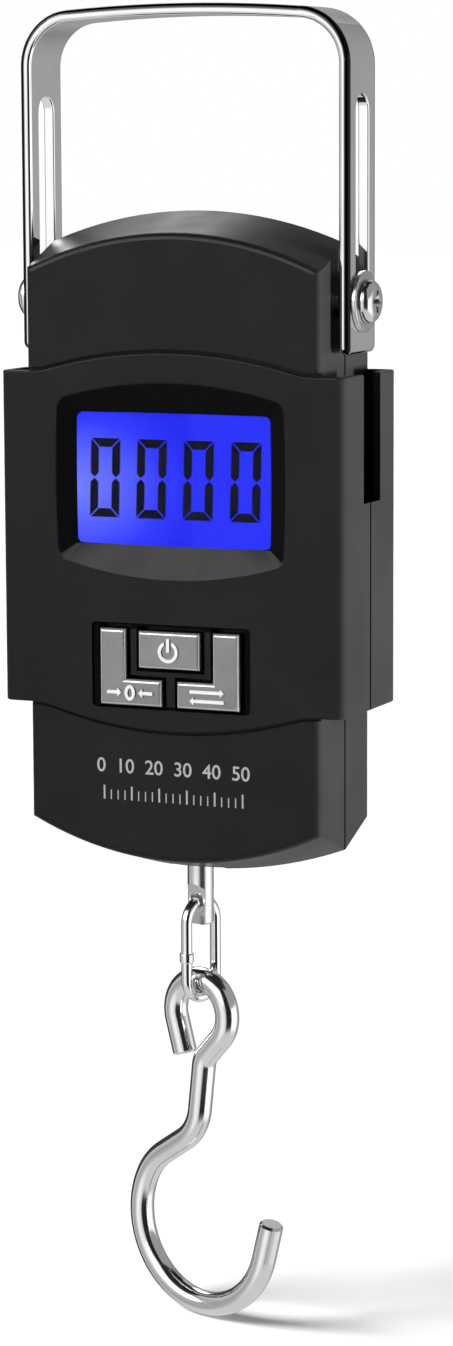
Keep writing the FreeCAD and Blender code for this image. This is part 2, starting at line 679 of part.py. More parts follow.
# ---- Display, board and keys ------------------------------------------------------------------------------------
def display_lens():
    return prism(window_outline(0.05, RECESS_FLOOR_Y + 0.1), LCD_FRONT_Y - RECESS_FLOOR_Y - 0.15)


def lcd_panel():
    front = box((-LCD_HALF, LCD_HALF), (LCD_FRONT_Y, LCD_STEP_Y), LCD_Z)
    back = box((-LCD_HALF, LCD_HALF), (LCD_STEP_Y, LCD_BACK_Y), (LCD_LEDGE_Z, LCD_Z[1]))
    return front.fuse(back).removeSplitter()


def backlight():
    """Clear light guide behind the display."""
    return box((BACKLIGHT_LEFT, LCD_HALF), (LCD_BACK_Y + 0.05, BACKLIGHT_BACK_Y), (LCD_Z[0] + 0.5, LCD_Z[1]))


def backlight_lamps():
    depth = (LCD_BACK_Y + 0.2, BOARD_FRONT_Y)
    lamps = [box(LAMP_X, depth, (z - LAMP_HALF_Z, z + LAMP_HALF_Z)) for z in LAMP_PLACES]
    return Part.makeCompound(lamps)


def contact_strip():
    """Rubber strip that joins the display's ledge to the board."""
    return box((-STRIP_HALF, STRIP_HALF), (LCD_BACK_Y, BOARD_FRONT_Y), (LCD_LEDGE_Z + 0.1, LCD_Z[0]))


def circuit_board():
    board = box((-BOARD_HALF, BOARD_HALF), (BOARD_FRONT_Y, BOARD_BACK_Y), BOARD_Z)
    board = board.makeFillet(BOARD_CORNER_R, [e for e in board.Edges if along_y(e, 1)])
    holes = [rod(BOARD_SCREW_R + 0.2, (x, -9, z), (x, 0, z)) for x, z in mirrored_places(BOARD_SCREWS)]
    return board.cut(holes)


def board_screws():
    screws = []
    for x, z in mirrored_places(BOARD_SCREWS):
        top = BOARD_BACK_Y + BOARD_SCREW_HEAD_T
        head = rod(BOARD_SCREW_HEAD_R, (x, BOARD_BACK_Y, z), (x, top, z))
        half, width, depth = BOARD_SCREW_SLOT
        slot = box((x - half, x + half), (top - depth, top + 1), (z - width, z + width))
        shank = rod(BOARD_SCREW_R, (x, BOARD_SCREW_TIP_Y, z), (x, BOARD_BACK_Y, z))
        screws.append(head.cut(slot).fuse(shank))
    return Part.makeCompound(screws)


def board_chip():
    """Resin drop over the bare chip on the back of the board."""
    x, z = CHIP_PLACE
    ball = Part.makeSphere(CHIP_BALL_R, Vector(x, BOARD_BACK_Y + CHIP_RISE - CHIP_BALL_R, z))
    behind = box((x - CHIP_BALL_R, x + CHIP_BALL_R), (BOARD_BACK_Y, 0), (z - CHIP_BALL_R, z + CHIP_BALL_R))
    return ball.common(behind)


def board_components():
    """Small capacitors and resistors on the back of the board."""
    places = mirrored_places([(COMPONENT_X, z) for z in COMPONENT_ROWS])
    half, rise, side = COMPONENT_SIZE
    depth = (BOARD_BACK_Y, BOARD_BACK_Y + rise)
    chips = [box((x - half, x + half), depth, (z - side, z + side)) for x, z in places]
    return Part.makeCompound(chips)


def sign_plate(points):
    """Raised flat shape on a key's face, through (x, z) points."""
    return prism(polygon(points, KEY_FACE_Y - SIGN_RISE), SIGN_RISE + 0.1)


def sign_ring(x, z, half_x, half_z):
    """Raised oval ring on a key's face."""
    front, back = KEY_FACE_Y - SIGN_RISE, KEY_FACE_Y + 0.1
    discs = []
    for inset in (0, SIGN_STROKE):
        disc = rod(half_z - inset, (0, 0, 0), (0, back - front, 0))
        stretch = Matrix((half_x - inset) / (half_z - inset), 0, 0, x, 0, 1, 0, front, 0, 0, 1, z)
        discs.append(disc.transformGeometry(stretch))
    return discs[0].cut(discs[1])


def sign_arrow(tail_x, tip_x, z, half_height):
    """Raised arrow along X on a key's face."""
    back_x = tip_x - math.copysign(half_height, tip_x - tail_x)
    stroke = SIGN_STROKE / 2
    return sign_plate([
        (tail_x, z - stroke), (back_x, z - stroke), (back_x, z - half_height), (tip_x, z),
        (back_x, z + half_height), (back_x, z + stroke), (tail_x, z + stroke),
    ])


def key_signs(name):
    """Pictograms: a switch ring and bar, arrows onto a zero, and two opposite arrows."""
    if name == "power":
        z = (POWER_KEY[1] + POWER_KEY[2]) / 2 - 0.2
        radius, gap, reach = SWITCH_RING
        opening = box((-gap, gap), (KEY_FACE_Y - 1, KEY_FACE_Y + 1), (z, z + 2 * radius))
        ring = sign_ring(0, z, radius, radius).cut(opening)
        stroke = SIGN_STROKE / 2
        return [ring, sign_plate([(-stroke, z), (stroke, z), (stroke, z + reach), (-stroke, z + reach)])]
    foot, _, side = SIDE_KEY_X
    z = (SIDE_KEY_Z[0] + SIDE_KEY_Z[1]) / 2
    if name == "tare":
        x = -(foot + side) / 2
        tail, tip, half = ZERO_ARROWS
        arrows = [sign_arrow(x + tail * way, x + tip * way, z, half) for way in (-1, 1)]
        return arrows + [sign_ring(x, z, *ZERO_RING)]
    x = (foot + side) / 2
    reach, rise, half = SWAP_ARROWS
    return [sign_arrow(x - reach * way, x + reach * way, z + rise * way, half) for way in (-1, 1)]


def key_cap(name):
    """Key with a rounded face and its sign, and a flange behind the case wall that keeps it in."""
    cap = grown_key(name, 0, KEY_FACE_Y, KEY_BACK_Y - KEY_FACE_Y)
    cap = cap.makeFillet(KEY_EDGE_R, [e for e in cap.Edges if at_y(e, KEY_FACE_Y)])
    flange = grown_key(name, KEY_GAP + KEY_FLANGE_OUT, KEY_BACK_Y, KEY_FLANGE_T)
    return cap.fuse([flange] + key_signs(name)).removeSplitter()


def key_plunger(name):
    x, z = SWITCH_PLACES[name]
    return rod(PLUNGER_R, (x, KEY_BACK_Y + KEY_FLANGE_T, z), (x, PLUNGER_BACK_Y, z))


def key_switches():
    """Switch cases on the board, each with a well that its plunger sinks into."""
    half = SWITCH_SIZE / 2
    cases = []
    for x, z in SWITCH_PLACES.values():
        case = box((x - half, x + half), (SWITCH_FRONT_Y, BOARD_FRONT_Y), (z - half, z + half))
        cases.append(case.cut(rod(PLUNGER_R + 0.1, (x, SWITCH_FRONT_Y - 1, z), (x, PLUNGER_BACK_Y + 0.8, z))))
    return Part.makeCompound(cases)


# ---- Load cell ------------------------------------------------------------------------------------------------------
def load_cell():
    reach = CELL_HALF_Y + 1
    beam = box((-CELL_HALF_X, CELL_HALF_X), (-CELL_HALF_Y, CELL_HALF_Y), cell_z())
    near, far, radius = CELL_HOLES
    thread = rod(SCREW_R, (SCREW_TIP_X, 0, SCREW_Z), (CELL_HALF_X + 1, 0, SCREW_Z))
    flexure = box((near, far), (-reach, reach), (SCREW_Z - CELL_SLIT, SCREW_Z + CELL_SLIT))
    for x in (near, far):
        flexure = flexure.fuse(rod(radius, (x, -reach, SCREW_Z), (x, reach, SCREW_Z)))
    bore = rod(STEM_BORE_R, (0, 0, SCREW_Z - 9), (0, 0, SCREW_Z + 9))
    return beam.cut(both_sides(thread) + both_sides(flexure) + [bore])


def strain_gauges():
    """Foil gauges glued over the thin walls of the load cell."""
    near, far, _ = CELL_HOLES
    half_x, half_y, thickness = GAUGE_SIZE
    pads = []
    for x in (near, far):
        for z in cell_z():
            out = thickness if z > SCREW_Z else -thickness
            height = tuple(sorted((z, z + out)))
            pads += both_sides(box((x - half_x, x + half_x), (-half_y, half_y), height))
    return Part.makeCompound(pads)


def cell_wires():
    """Four thin wires from the load cell down to the back of the board."""
    start_z = cell_z()[0] - 0.6
    near_board = BOARD_BACK_Y + 1.1
    pad_z = BOARD_Z[1] - 5.0
    count, first, spacing, radius, bend = CELL_WIRES
    wires = []
    for i in range(count):
        x = first + spacing * i
        route = [(x, CELL_WIRE_Y, start_z), (x, near_board, start_z)]
        route += [(x, near_board, pad_z), (x, BOARD_BACK_Y, pad_z)]
        wires.append(tube(route, radius, bend))
    return Part.makeCompound(wires)


# ---- Batteries --------------------------------------------------------------------------------------------------------
def battery(side):
    """Round cell with its plus nub: the two cells lie opposite ways up."""
    x, y = side * BATTERY_X, BATTERY_Y
    low = bay_end(side, False)[1]
    nub_r, nub = BATTERY_NUB
    if side < 0:
        body = rod(CELL_R, (x, y, low), (x, y, low + CELL_LENGTH - nub))
        tip = rod(nub_r, (x, y, low + CELL_LENGTH - nub), (x, y, low + CELL_LENGTH))
    else:
        body = rod(CELL_R, (x, y, low + nub), (x, y, low + CELL_LENGTH))
        tip = rod(nub_r, (x, y, low), (x, y, low + nub))
    ends = [e for e in body.Edges if e.BoundBox.ZLength < 0.01]
    return body.makeFillet(BATTERY_EDGE_R, ends).fuse(tip)


def bay_end(side, top):
    """Heights of the free end space of a bay: from the end wall to the cell."""
    low = BAY_Z[0] + (MINUS_SPACE if side < 0 else PLUS_SPACE)
    return (low + CELL_LENGTH, BAY_Z[1]) if top else (BAY_Z[0], low)


def contact_plate(side, top):
    """Flat tin-plated contact against the end wall of a bay."""
    low, high = bay_end(side, top)
    z = (high - CONTACT_T, high) if top else (low, low + CONTACT_T)
    x = side * BATTERY_X
    y = (BATTERY_Y - CONTACT_HALF, BATTERY_Y + CONTACT_HALF)
    return box((x - CONTACT_HALF, x + CONTACT_HALF), y, z)


def contact_spring(side, top):
    """Leaf bent away from its contact plate to press on the minus end of a cell."""
    low, high = bay_end(side, top)
    x = side * BATTERY_X
    wall, cell = (high - CONTACT_T, low) if top else (low + CONTACT_T, high)
    sign = -1 if top else 1
    t = SPRING_T * sign
    y0, y1, y2 = BATTERY_Y - CONTACT_HALF, BATTERY_Y, BATTERY_Y + CONTACT_HALF
    reach = cell - sign * 0.02
    points = [(y0, wall), (y1, reach - t), (y2, wall), (y2, wall + t), (y1, reach), (y0, wall + t)]
    wire = Part.makePolygon([Vector(x - SPRING_HALF, y, z) for y, z in points + points[:1]])
    return Part.Face(wire).extrude(Vector(2 * SPRING_HALF, 0, 0))


def battery_contacts():
    plates = [contact_plate(side, top) for side in (-1, 1) for top in (False, True)]
    return Part.makeCompound(plates)


def battery_springs():
    return Part.makeCompound([contact_spring(-1, False), contact_spring(1, True)])


def battery_wires():
    """Two wires from the top contacts over the bays' top walls to the board."""
    beside, radius, bend = BATTERY_WIRE
    wires = []
    for side in (-1, 1):
        x = side * (BATTERY_X + beside)
        top = BAY_Z[1] + BAY_WALL + 0.6
        near_board = BOARD_BACK_Y + 2.2
        pad_z = top - 7.0
        route = [(x, BATTERY_Y, top), (x, near_board, top), (x, near_board, pad_z), (x, BOARD_BACK_Y, pad_z)]
        wires.append(tube(route, radius, bend))
    return Part.makeCompound(wires)


# ---- Stem, link and hook -------------------------------------------------------------------------------------------------
def stem():
    """Long rod through the load cell, flattened to a tongue with a cross hole at its foot."""
    shaft = rod(STEM_R, (0, 0, STEM_BOTTOM_Z), (0, 0, STEM_TOP_Z))
    rims = [e for e in shaft.Edges if e.BoundBox.ZLength < 0.01]
    shaft = shaft.makeChamfer(STEM_CHAMFER, rims)
    flat_top_r = STEM_R + 0.2
    flat_z = TONGUE_TOP_Z - flat_top_r
    for sign in (-1, 1):
        y = sorted((sign * TONGUE_HALF, sign * (STEM_R + 1)))
        flat = box((-STEM_R - 1, STEM_R + 1), y, (STEM_BOTTOM_Z - 1, flat_z))
        flat = flat.fuse(rod(flat_top_r, (0, y[0], flat_z), (0, y[1], flat_z)))
        shaft = shaft.cut(flat)
    hole = rod(STEM_HOLE_R, (0, -5, STEM_HOLE_Z), (0, 5, STEM_HOLE_Z))
    tongue = shaft.cut(hole)

    def hole_rim(edge):
        near = abs(edge.BoundBox.ZMax - STEM_HOLE_Z - STEM_HOLE_R) < 0.01
        return near and edge.BoundBox.YLength < 0.01

    tongue = tongue.makeFillet(STEM_HOLE_RIM_R, [e for e in tongue.Edges if hole_rim(e)])
    return turned(tongue)


def stem_washer():
    low = cell_z()[1] + SEAT_GAP
    disc = rod(WASHER_R, (0, 0, low), (0, 0, low + WASHER_T))
    return disc.cut(rod(STEM_R, (0, 0, low - 1), (0, 0, low + 2)))


def stem_nut():
    low = cell_z()[1] + SEAT_GAP + WASHER_T
    across = NUT_ACROSS / math.sqrt(3)
    corners = [Vector(across * math.cos(math.radians(60 * i)), across * math.sin(math.radians(60 * i)), low)
               for i in range(6)]
    body = Part.Face(Part.makePolygon(corners + corners[:1])).extrude(Vector(0, 0, NUT_T))
    return body.cut(rod(STEM_R, (0, 0, low - 1), (0, 0, low + 9)))


def swept_circle(edges, start, heading, radius):
    section = Part.Wire(Part.makeCircle(radius, start, heading))
    return Part.Wire(edges).makePipeShell([section], True, False)


def link():
    """Oblong ring of round wire, closed by a weld on one limb."""
    low = LINK_LOW_Z + LINK_BEND_R
    high = LINK_TOP_Z - LINK_BEND_R
    side = LINK_BEND_R
    path = [
        line((0, -side, low), (0, -side, high)),
        arc((0, -side, high), (0, 0, LINK_TOP_Z), (0, side, high)),
        line((0, side, high), (0, side, low)),
        arc((0, side, low), (0, 0, LINK_LOW_Z), (0, -side, low)),
    ]
    ring = swept_circle(path, Vector(0, -side, low), Vector(0, 0, 1), LINK_R)
    weld = rod(LINK_R + WELD_RISE, (0, -side, WELD_Z - WELD_LENGTH / 2), (0, -side, WELD_Z + WELD_LENGTH / 2))
    weld = weld.makeFillet(WELD_RISE - 0.01, [e for e in weld.Edges if e.BoundBox.ZLength < 0.01])
    return turned(ring.fuse(weld))


def wire_run(start, heading, runs):
    """Edges of a wire path in the XZ plane that turns by tangent arcs; left turns are positive."""
    place = Vector(*start)
    angle = math.radians(heading)
    edges = []
    for run in runs:
        if run[0] == "run":
            end = place + Vector(math.cos(angle), 0, math.sin(angle)) * run[1]
            edges.append(Part.makeLine(place, end))
        else:
            radius, turn = run[1], math.radians(run[2])
            sign = 1 if turn > 0 else -1
            centre = place + Vector(-math.sin(angle), 0, math.cos(angle)) * (sign * radius)

            def on_arc(part):
                around = angle + turn * part - sign * math.pi / 2
                return centre + Vector(math.cos(around), 0, math.sin(around)) * radius

            end = on_arc(1)
            edges.append(Part.Arc(place, on_arc(0.5), end).toShape())
            angle += turn
        place = end
    return edges, place, Vector(math.cos(angle), 0, math.sin(angle))


def wire_solid(start, heading, runs):
    edges, end, _ = wire_run(start, heading, runs)
    direction = Vector(math.cos(math.radians(heading)), 0, math.sin(math.radians(heading)))
    return swept_circle(edges, Vector(*start), direction, HOOK_R), end


def hook():
    """One bent wire: a closed eye, a short shank, an offset shoulder and a round bowl."""
    top = (0, 0, HOOK_TOP_Z)
    closed_side, cut_end = wire_solid(top, 180.0, EYE_CLOSED_SIDE)
    hook_side, tip = wire_solid(top, 0.0, HOOK_SIDE)
    body = closed_side.fuse(hook_side).removeSplitter()
    ends = []
    for place in (cut_end, tip):
        ends += [e for e in body.Edges if abs((e.CenterOfMass - place).Length) < 0.05 and e.Length > 14]
    return turned(body.makeChamfer(WIRE_END_CHAMFER, ends))


def export(name, shape):
    bad = [solid for solid in shape.Solids if not solid.isValid()]
    print(f"{name:20s} solids {len(shape.Solids)} invalid {len(bad)} volume {shape.Volume:9.1f}")
    shape.exportStep(f"parts/{name}.step")


def main():
    os.makedirs("parts", exist_ok=True)
    export("handle", handle())
    export("slot_bush_left", bush(-1))
    export("slot_bush_right", bush(1))
    export("handle_screws", handle_screws())
    export("front_shell", front_shell())
    export("back_shell", back_shell())
    export("battery_door", battery_door())
    export("case_screws", case_screws())
    export("display_lens", display_lens())
    export("lcd_panel", lcd_panel())
    export("backlight", backlight())
    export("backlight_lamps", backlight_lamps())
    export("contact_strip", contact_strip())
    export("circuit_board", circuit_board())
    export("board_screws", board_screws())
    export("board_chip", board_chip())
    export("board_components", board_components())
    for name in SWITCH_PLACES:
        export(f"key_{name}", key_cap(name))
        export(f"plunger_{name}", key_plunger(name))
    export("key_switches", key_switches())
    export("load_cell", load_cell())
    export("strain_gauges", strain_gauges())
    export("cell_wires", cell_wires())
    export("battery_left", battery(-1))
    export("battery_right", battery(1))
    export("battery_contacts", battery_contacts())
    export("battery_springs", battery_springs())
    export("battery_wires", battery_wires())
    export("stem", stem())
    export("stem_washer", stem_washer())
    export("stem_nut", stem_nut())
    export("link", link())
    export("hook", hook())


main()
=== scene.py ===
import math

import bmesh
import bpy
from mathutils import Matrix, Vector


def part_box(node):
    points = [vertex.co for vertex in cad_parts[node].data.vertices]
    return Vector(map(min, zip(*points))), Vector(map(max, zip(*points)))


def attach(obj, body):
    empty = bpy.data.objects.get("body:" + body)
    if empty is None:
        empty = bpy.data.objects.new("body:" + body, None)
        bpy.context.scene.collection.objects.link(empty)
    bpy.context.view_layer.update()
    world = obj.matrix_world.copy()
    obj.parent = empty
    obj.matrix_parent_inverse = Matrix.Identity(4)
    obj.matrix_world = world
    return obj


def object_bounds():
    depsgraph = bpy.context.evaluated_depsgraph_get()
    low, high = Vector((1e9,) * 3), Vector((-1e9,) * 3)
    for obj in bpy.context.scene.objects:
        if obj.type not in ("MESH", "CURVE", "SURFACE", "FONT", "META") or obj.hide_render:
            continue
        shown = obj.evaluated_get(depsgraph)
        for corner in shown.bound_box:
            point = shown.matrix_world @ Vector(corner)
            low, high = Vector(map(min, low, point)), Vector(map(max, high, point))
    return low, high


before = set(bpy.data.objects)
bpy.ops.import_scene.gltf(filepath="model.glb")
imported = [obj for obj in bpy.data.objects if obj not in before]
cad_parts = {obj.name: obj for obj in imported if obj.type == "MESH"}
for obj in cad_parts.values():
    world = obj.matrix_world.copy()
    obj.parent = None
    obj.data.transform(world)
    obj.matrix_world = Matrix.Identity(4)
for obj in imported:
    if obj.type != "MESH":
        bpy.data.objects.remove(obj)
CAD_LOW, CAD_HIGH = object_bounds()

MM = 0.001

# ---- Camera: the viewing angle on the object, from its right and a little above ------------
CAMERA_AZIMUTH = 23.51
CAMERA_ELEVATION = 8.35
CAMERA_ROLL = -0.27
CAMERA_DISTANCE = 0.6875
CAMERA_AIM = Vector((0.0055, 0.0, -0.1209))
LENS = 98.6
SENSOR = 36.0

# ---- Places taken from the frame ------------------------------------------------------------
LENS_LOW, LENS_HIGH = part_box("display_lens")
LENS_CENTRE = (LENS_LOW + LENS_HIGH) / 2
LCD_FRONT_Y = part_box("lcd_panel")[0].y
CASE_FRONT_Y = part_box("front_shell")[0].y
SIGN_FRONT_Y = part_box("key_power")[0].y
KEYS_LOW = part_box("key_tare")[0]
KEYS_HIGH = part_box("key_unit")[1]
STRAP_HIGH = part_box("handle")[1]
FLOOR_Z = CAD_LOW.z

# ---- Measures of the design that the frame's boxes don't give, in metres ---------------------
NARROW_FRONT_Y = -0.0124            # front of the narrow body, where the load range is printed
STRAP_CORNER_R = 0.0102             # outside of the handle's bends
STRAP_CROWN_R = 0.3                 # the slight arch of its top bar
# The dark line is a painted reflection along the strap's outer edges.
STRAP_LINE = 0.0011                 # width of the dark line round its outer edges
SURROUND_SIDE = 0.0038              # reach of the display surround's slopes beyond the window
SURROUND_TOP = 0.0065
SURROUND_FOOT = 0.004
CREASE_SLOPE = 0.7                  # fall of the creases between its side and lower slopes
SURROUND_SKIN = 0.00008             # how far below the case's front a surface counts as sunk
TRENCH_SKIN = 0.00015
TRENCH_MARGIN = 0.0011              # the key recess reaches this far beyond the keys
KEY_SIGN_RISE = 0.0003
KEY_SIGN_SKIN = 0.00012
KEY_RIM = 0.0005                    # depth of the rounded rims round the keys' faces
KEY_RIM_SKIN = 0.00003
KEY_SIDE_SKIN = 0.0001

# ---- Node helpers ------------------------------------------------------------------------------
def new_material(name):
    material = bpy.data.materials.new(name)
    material.use_nodes = True
    tree = material.node_tree
    return material, tree, tree.nodes["Principled BSDF"]


def add_node(tree, kind, **settings):
    node = tree.nodes.new(kind)
    for key, value in settings.items():
        setattr(node, key, value)
    return node


def object_coordinates(tree, stretch=(1.0, 1.0, 1.0), origin=(0.0, 0.0, 0.0)):
    """Position in the object's own frame, in metres, stretched along each axis."""
    coordinates = add_node(tree, "ShaderNodeTexCoord")
    mapping = add_node(tree, "ShaderNodeMapping")
    mapping.inputs["Scale"].default_value = stretch
    mapping.inputs["Location"].default_value = [-o * s for o, s in zip(origin, stretch)]
    tree.links.new(coordinates.outputs["Object"], mapping.inputs["Vector"])
    return mapping.outputs["Vector"]


def noise(tree, vector, scale, detail=2.0, roughness=0.5):
    node = add_node(tree, "ShaderNodeTexNoise")
    node.inputs["Scale"].default_value = scale
    node.inputs["Detail"].default_value = detail
    node.inputs["Roughness"].default_value = roughness
    tree.links.new(vector, node.inputs["Vector"])
    return node.outputs["Fac"]


def spread(tree, value, low, high, start=0.35, end=0.65):
    """Maps a noise value's usual range onto low..high."""
    node = add_node(tree, "ShaderNodeMapRange")
    node.inputs["From Min"].default_value = start
    node.inputs["From Max"].default_value = end
    node.inputs["To Min"].default_value = low
    node.inputs["To Max"].default_value = high
    tree.links.new(value, node.inputs["Value"])
    return node.outputs["Result"]


def smooth_step(tree, value, start, end):
    """0 up to the start, 1 past the end, and a smooth rise between them."""
    node = add_node(tree, "ShaderNodeMapRange", interpolation_type="SMOOTHSTEP")
    node.inputs["From Min"].default_value = start
    node.inputs["From Max"].default_value = end
    tree.links.new(value, node.inputs["Value"])
    return node.outputs["Result"]


def two_tone(tree, value, dark, light, start=0.35, end=0.65):
    ramp = add_node(tree, "ShaderNodeValToRGB")
    ramp.color_ramp.elements[0].position = start
    ramp.color_ramp.elements[1].position = end
    ramp.color_ramp.elements[0].color = (*dark, 1.0)
    ramp.color_ramp.elements[1].color = (*light, 1.0)
    tree.links.new(value, ramp.inputs["Fac"])
    return ramp.outputs["Color"]


def add_bump(tree, shader, height, depth, strength=1.0, below=None):
    bump = add_node(tree, "ShaderNodeBump")
    bump.inputs["Distance"].default_value = depth
    bump.inputs["Strength"].default_value = strength
    tree.links.new(height, bump.inputs["Height"])
    if below is not None:
        tree.links.new(below, bump.inputs["Normal"])
    tree.links.new(bump.outputs["Normal"], shader.inputs["Normal"])
    return bump.outputs["Normal"]


def mathematics(tree, operation, *values):
    node = add_node(tree, "ShaderNodeMath", operation=operation)
    for socket, value in zip(node.inputs, values):
        if isinstance(value, (int, float)):
            socket.default_value = value
        else:
            tree.links.new(value, socket)
    return node.outputs["Value"]


def components(tree, vector):
    split = add_node(tree, "ShaderNodeSeparateXYZ")
    tree.links.new(vector, split.inputs["Vector"])
    return split.outputs


def inside(tree, **limits):
    """1 where the object's own x, y and z all lie inside the given limits (metres), else 0."""
    places = components(tree, object_coordinates(tree))
    result = 1.0
    for axis, (low, high) in limits.items():
        place = places[axis.upper()]
        above = mathematics(tree, "GREATER_THAN", place, low)
        below = mathematics(tree, "LESS_THAN", place, high)
        result = mathematics(tree, "MULTIPLY", result, mathematics(tree, "MULTIPLY", above, below))
    return result


def blend(tree, factor, low, high):
    mix = add_node(tree, "ShaderNodeMix", data_type="FLOAT")
    for socket, value in (("Factor", factor), ("A", low), ("B", high)):
        if isinstance(value, (int, float)):
            mix.inputs[socket].default_value = value
        else:
            tree.links.new(value, mix.inputs[socket])
    return mix.outputs["Result"]


def tinted(tree, factor, colour, other):
    """The colour, replaced by a fixed other one where the factor is 1."""
    mix = add_node(tree, "ShaderNodeMixRGB")
    tree.links.new(factor, mix.inputs["Fac"])
    tree.links.new(colour, mix.inputs["Color1"])
    mix.inputs["Color2"].default_value = (*other, 1.0)
    return mix.outputs["Color"]


# ---- Materials ----------------------------------------------------------------------------------
BLACK = (0.0052, 0.0052, 0.0053)
BLACK_WORN = (0.0066, 0.0066, 0.0067)
DOOR_BLACK = (0.0056, 0.0056, 0.0057)
DOOR_BLACK_WORN = (0.0072, 0.0072, 0.0073)
# Painted shade for the recess round the keys and the slopes round the window.
PAINTED_RECESS_SHADE = (0.0004, 0.0004, 0.0004)
SUNK_ROUGHNESS = 0.95
STRAP_STEEL = (0.88, 0.88, 0.89)
# Painted dark reflection along the handle's outer edges.
STRAP_PAINTED_REFLECTION = (0.012, 0.012, 0.012)
KEY_LACQUER = ((0.18, 0.18, 0.183), (0.215, 0.215, 0.218))
# Painted highlights on the keys' rims and raised signs.
KEY_RIM_HIGHLIGHT = (0.55, 0.55, 0.55)
KEY_SIGN_HIGHLIGHT = (0.72, 0.72, 0.72)
# Painted shade on the keys' sides below the case's front.
KEY_SIDE_SHADE = (0.001, 0.001, 0.001)
# The lit display's colours, from its unlit corners to the glow beside its lamp.
DISPLAY_STOPS = [(0.0, (0.008, 0.014, 0.88)), (0.30, (0.022, 0.036, 1.0)), (1.0, (0.17, 0.21, 1.0))]


def around_window(tree):
    """1 on the display surround's top and side slopes, down to the creases of its lower slope; these get
    painted shade.
    """
    slopes = inside(
        tree, x=(LENS_LOW.x - SURROUND_SIDE, LENS_HIGH.x + SURROUND_SIDE),
        y=(CASE_FRONT_Y + SURROUND_SKIN, 0.0), z=(LENS_LOW.z - SURROUND_FOOT, LENS_HIGH.z + SURROUND_TOP))
    place = components(tree, object_coordinates(tree))
    across = mathematics(tree, "ABSOLUTE", place["X"])
    beside = mathematics(tree, "MAXIMUM", mathematics(tree, "SUBTRACT", across, LENS_HIGH.x), 0.0)
    crease = mathematics(tree, "MULTIPLY_ADD", beside, CREASE_SLOPE, place["Z"])
    above = mathematics(tree, "GREATER_THAN", crease, LENS_LOW.z)
    return mathematics(tree, "MULTIPLY", slopes, above)


def around_keys(tree):
    """1 in the recess round the keys, below the case's front; it gets painted shade."""
    return inside(
        tree, x=(KEYS_LOW.x - TRENCH_MARGIN, KEYS_HIGH.x + TRENCH_MARGIN),
        y=(CASE_FRONT_Y + TRENCH_SKIN, 0.0), z=(KEYS_LOW.z - TRENCH_MARGIN, KEYS_HIGH.z + TRENCH_MARGIN))


def moulded_plastic(name, dark, light, gloss=(0.30, 0.38), grain=5200.0, depth=0.000008, ior=1.22):
    """Satin moulded plastic: spark-eroded grain, flow marks and wear; matt with painted shade round the keys
    and window.
    """
    material, tree, shader = new_material(name)
    place = object_coordinates(tree)
    cloud = noise(tree, place, 55.0, detail=4.0)
    fine = noise(tree, place, grain, detail=2.0)
    shaded_and_matt = mathematics(tree, "MAXIMUM", around_keys(tree), around_window(tree))
    # Painted shade: the recess round the keys and the slopes round the window are coloured near-black and
    # made matt.
    colour = tinted(tree, shaded_and_matt, two_tone(tree, cloud, dark, light), PAINTED_RECESS_SHADE)
    tree.links.new(colour, shader.inputs["Base Color"])
    rough = spread(tree, noise(tree, place, 140.0, detail=5.0), *gloss)
    tree.links.new(blend(tree, shaded_and_matt, rough, SUNK_ROUGHNESS), shader.inputs["Roughness"])
    shader.inputs["IOR"].default_value = ior
    soft = add_bump(tree, shader, noise(tree, place, 28.0), 0.00004, 0.5)
    add_bump(tree, shader, fine, depth, 0.8, below=soft)
    return material


def steel(name, colour, gloss, stretch=(60.0, 4000.0, 60.0), depth=0.000002, tint=0.06):
    """Bright steel with drawn or polished lines along its length and faint smudges."""
    material, tree, shader = new_material(name)
    lines = noise(tree, object_coordinates(tree, stretch), 1.0, detail=3.0)
    smudge = noise(tree, object_coordinates(tree), 110.0, detail=4.0)
    dark = tuple(max(c - tint, 0.0) for c in colour)
    tree.links.new(two_tone(tree, smudge, dark, colour), shader.inputs["Base Color"])
    tree.links.new(spread(tree, smudge, *gloss), shader.inputs["Roughness"])
    shader.inputs["Metallic"].default_value = 1.0
    add_bump(tree, shader, lines, depth, 0.6)
    return material


def strap_edge(tree):
    """1 on the narrow band round the outside of the handle's front and back edges, where a dark reflection is
    painted, else 0.

    Distance is measured from the centre of the nearer bend, once the top bar's arch is taken out.
    """
    place = components(tree, object_coordinates(tree))
    bend_x = STRAP_HIGH.x - STRAP_CORNER_R
    bend_z = STRAP_HIGH.z - STRAP_CORNER_R
    across = mathematics(tree, "ABSOLUTE", place["X"])
    along_top = mathematics(tree, "MINIMUM", across, bend_x)
    bow = mathematics(tree, "DIVIDE", mathematics(tree, "POWER", along_top, 2.0), 2 * STRAP_CROWN_R)
    height = mathematics(tree, "ADD", place["Z"], bow)
    over_x = mathematics(tree, "MAXIMUM", mathematics(tree, "SUBTRACT", across, bend_x), 0.0)
    over_z = mathematics(tree, "MAXIMUM", mathematics(tree, "SUBTRACT", height, bend_z), 0.0)
    squares = mathematics(tree, "MULTIPLY_ADD", over_x, over_x, mathematics(tree, "MULTIPLY", over_z, over_z))
    radius = mathematics(tree, "SQRT", squares)
    outside = smooth_step(tree, radius, STRAP_CORNER_R - STRAP_LINE, STRAP_CORNER_R - 0.7 * STRAP_LINE)
    depth = mathematics(tree, "ABSOLUTE", place["Y"])
    front = smooth_step(tree, depth, STRAP_HIGH.y - STRAP_LINE, STRAP_HIGH.y - 0.8 * STRAP_LINE)
    return mathematics(tree, "MULTIPLY", outside, front)


def handle_steel(name):
    """Polished strap with a painted dark reflection along its rolled outer edges."""
    material = steel(name, STRAP_STEEL, (0.03, 0.07), depth=0.0000005)
    tree = material.node_tree
    shader = tree.nodes["Principled BSDF"]
    polished = shader.inputs["Base Color"].links[0].from_socket
    # Painted reflection: a dark line along the strap's outer edges.
    colour = tinted(tree, strap_edge(tree), polished, STRAP_PAINTED_REFLECTION)
    tree.links.new(colour, shader.inputs["Base Color"])
    return material


